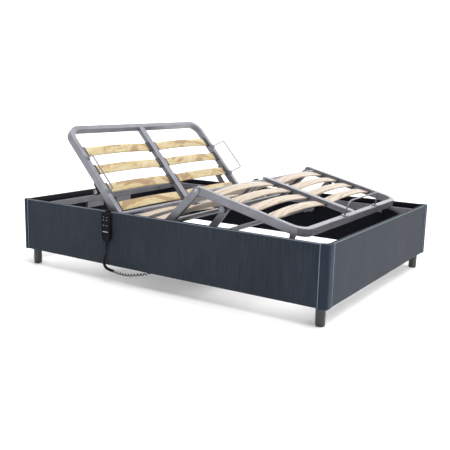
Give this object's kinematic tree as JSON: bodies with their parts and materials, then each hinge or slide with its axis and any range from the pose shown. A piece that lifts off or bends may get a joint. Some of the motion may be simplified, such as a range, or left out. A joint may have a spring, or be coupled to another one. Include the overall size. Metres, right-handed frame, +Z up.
{
  "type": "adjustable bed base",
  "caption": "Upholstered adjustable bed base: box on four legs with a hinged slatted steel frame that raises the back and knees, lifting drive and corded handset.",
  "frame": {"origin": "on the floor, under the middle of the box", "axes": "+X from the head end towards the foot end, +Y towards the side without the handset, +Z up"},
  "size_m": [1.88, 1.4025, 0.7891],
  "materials": {
    "upholstery": "woven dark blue-grey",
    "board": "board painted black",
    "frame_paint": "grey powder coat",
    "slat_wood": "clear satin",
    "bright_steel": "zinc plated",
    "black_plastic": "fine texture",
    "grey_plastic": "moulded",
    "leg_plastic": "satin black",
    "nylon": "smooth",
    "button_plastic": "soft touch",
    "circuit": "bare",
    "cord_plastic": "smooth"
  },
  "bodies": {
    "base": {"side_boards": "board", "end_boards": "board", "near_side_cover": "upholstery", "far_side_cover": "upholstery", "foot_end_cover": "upholstery", "head_end_cover": "upholstery", "corner_pads": "upholstery", "corner_blocks": "board", "leg_plates": "bright_steel", "legs": "leg_plastic", "side_rails": "frame_paint", "cross_rails": "frame_paint", "frame_brackets": "frame_paint", "frame_bolts": "bright_steel", "seat_frame": "frame_paint", "seat_slats": "slat_wood", "seat_slat_holders": "black_plastic", "seat_hinge_plates": "frame_paint", "seat_hinge_pins": "bright_steel", "shaft_bearings": "frame_paint", "drive_housing": "black_plastic", "drive_cover": "black_plastic", "drive_motors": "grey_plastic", "drive_spindles": "bright_steel", "foot_ramps": "nylon", "control_box": "black_plastic", "handset_cord": "cord_plastic"},
    "back": {"back_frame": "frame_paint", "back_inner_bars": "frame_paint", "back_slats": "slat_wood", "back_slat_holders": "black_plastic", "side_retainers": "frame_paint", "back_glide_shoes": "nylon"},
    "back_lift": {"back_lift_shaft": "frame_paint"},
    "back_rollers": {"back_lift_rollers": "black_plastic"},
    "back_nut": {"back_thrust_nut": "nylon"},
    "thigh": {"thigh_frame": "frame_paint", "thigh_slats": "slat_wood", "thigh_slat_holders": "black_plastic", "knee_hinge_plates": "frame_paint", "knee_hinge_pins": "bright_steel"},
    "leg": {"leg_frame": "frame_paint", "leg_inner_bars": "frame_paint", "leg_slats": "slat_wood", "leg_slat_holders": "black_plastic", "foot_retainer": "frame_paint", "foot_roller_brackets": "frame_paint"},
    "foot_rollers": {"foot_rollers": "black_plastic"},
    "leg_lift": {"leg_lift_shaft": "frame_paint"},
    "leg_rollers": {"leg_lift_rollers": "black_plastic"},
    "leg_nut": {"leg_thrust_nut": "nylon"},
    "handset": {"handset_front": "black_plastic", "handset_back": "black_plastic", "handset_circuit_board": "circuit", "handset_clip": "black_plastic", "handset_strain_relief": "cord_plastic"},
    "button_back_up": {"button_back_up": "button_plastic"},
    "button_back_down": {"button_back_down": "button_plastic"},
    "button_legs_up": {"button_legs_up": "button_plastic"},
    "button_legs_down": {"button_legs_down": "button_plastic"}
  },
  "joints": [
    {"name": "back_tilt", "type": "hinge", "parent": "base", "child": "back", "pos_m": [-0.291, 0, 0.33], "axis": [0, 1, 0], "range_deg": [-48.5, 11.5]},
    {"name": "back_lift_turn", "type": "hinge", "parent": "base", "child": "back_lift", "pos_m": [-0.335, 0, 0.285], "axis": [0, 1, 0], "range_deg": [-52.5, 12.8]},
    {"name": "back_nut_slide", "type": "slide", "parent": "base", "child": "back_nut", "axis": [-1, 0, 0], "range_m": [-0.048, 0.0116]},
    {"name": "back_roller_spin", "type": "hinge", "parent": "back_lift", "child": "back_rollers", "pos_m": [-0.46274, 0, 0.45168], "axis": [0, 1, 0], "continuous": true},
    {"name": "thigh_tilt", "type": "hinge", "parent": "base", "child": "thigh", "pos_m": [0.006, 0, 0.33], "axis": [0, -1, 0], "range_deg": [-45, 0]},
    {"name": "leg_fold", "type": "hinge", "parent": "thigh", "child": "leg", "pos_m": [0.20116, 0, 0.52516], "axis": [0, -1, 0], "range_deg": [0, 58.8]},
    {"name": "foot_roller_spin", "type": "hinge", "parent": "leg", "child": "foot_rollers", "pos_m": [0.7185, 0, 0.3466], "axis": [0, 1, 0], "continuous": true},
    {"name": "leg_lift_turn", "type": "hinge", "parent": "base", "child": "leg_lift", "pos_m": [0.212, 0, 0.285], "axis": [0, -1, 0], "range_deg": [-50.1, 0.1]},
    {"name": "leg_roller_spin", "type": "hinge", "parent": "leg_lift", "child": "leg_rollers", "pos_m": [0.34355, 0, 0.44869], "axis": [0, 1, 0], "continuous": true},
    {"name": "leg_nut_slide", "type": "slide", "parent": "base", "child": "leg_nut", "axis": [1, 0, 0], "range_m": [-0.0466, 0.0001]},
    {"name": "handset_unhook", "type": "slide", "parent": "base", "child": "handset", "axis": [0, 0, 1], "range_m": [0, 0.03]},
    {"name": "button_back_up_press", "type": "slide", "parent": "handset", "child": "button_back_up", "axis": [0, 1, 0], "range_m": [0, 0.0012], "stiffness_N_per_m": 1500, "springref_m": -0.0005},
    {"name": "button_back_down_press", "type": "slide", "parent": "handset", "child": "button_back_down", "axis": [0, 1, 0], "range_m": [0, 0.0012], "stiffness_N_per_m": 1500, "springref_m": -0.0005},
    {"name": "button_legs_up_press", "type": "slide", "parent": "handset", "child": "button_legs_up", "axis": [0, 1, 0], "range_m": [0, 0.0012], "stiffness_N_per_m": 1500, "springref_m": -0.0005},
    {"name": "button_legs_down_press", "type": "slide", "parent": "handset", "child": "button_legs_down", "axis": [0, 1, 0], "range_m": [0, 0.0012], "stiffness_N_per_m": 1500, "springref_m": -0.0005}
  ],
  "couplings": [
    {"joint": "back_lift_turn", "follows": "back_tilt", "ratio": 1.072},
    {"joint": "back_nut_slide", "follows": "back_tilt", "m_per_rad": 0.0558},
    {"joint": "leg_fold", "follows": "thigh_tilt", "ratio": -1.3067},
    {"joint": "leg_lift_turn", "follows": "thigh_tilt", "ratio": 1.1111},
    {"joint": "leg_nut_slide", "follows": "thigh_tilt", "m_per_rad": 0.0592}
  ]
}
